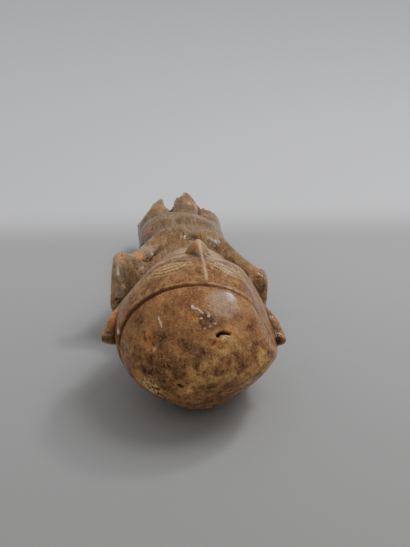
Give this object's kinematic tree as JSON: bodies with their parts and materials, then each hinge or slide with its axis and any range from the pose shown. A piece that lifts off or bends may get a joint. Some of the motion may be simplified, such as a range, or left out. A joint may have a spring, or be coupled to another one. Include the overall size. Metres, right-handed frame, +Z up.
{
  "type": "carved wooden male figure, broken, lying",
  "caption": "Carved male figure in dark glossy wood, lying on its back: large head, bent arms with hands on the belly, legs broken off at the thighs.",
  "frame": {"origin": "centre of the bounding box's underside, on the surface that the figure lies on", "axes": "+X across the figure, towards its own right arm as it lies on its back; +Y from the crown of the head to the broken end of the legs; +Z up"},
  "size_m": [0.0788, 0.2099, 0.063],
  "materials": {
    "wood": "glossy worn patina"
  },
  "bodies": {
    "root": {"carved_figure": "wood"}
  },
  "joints": []
}
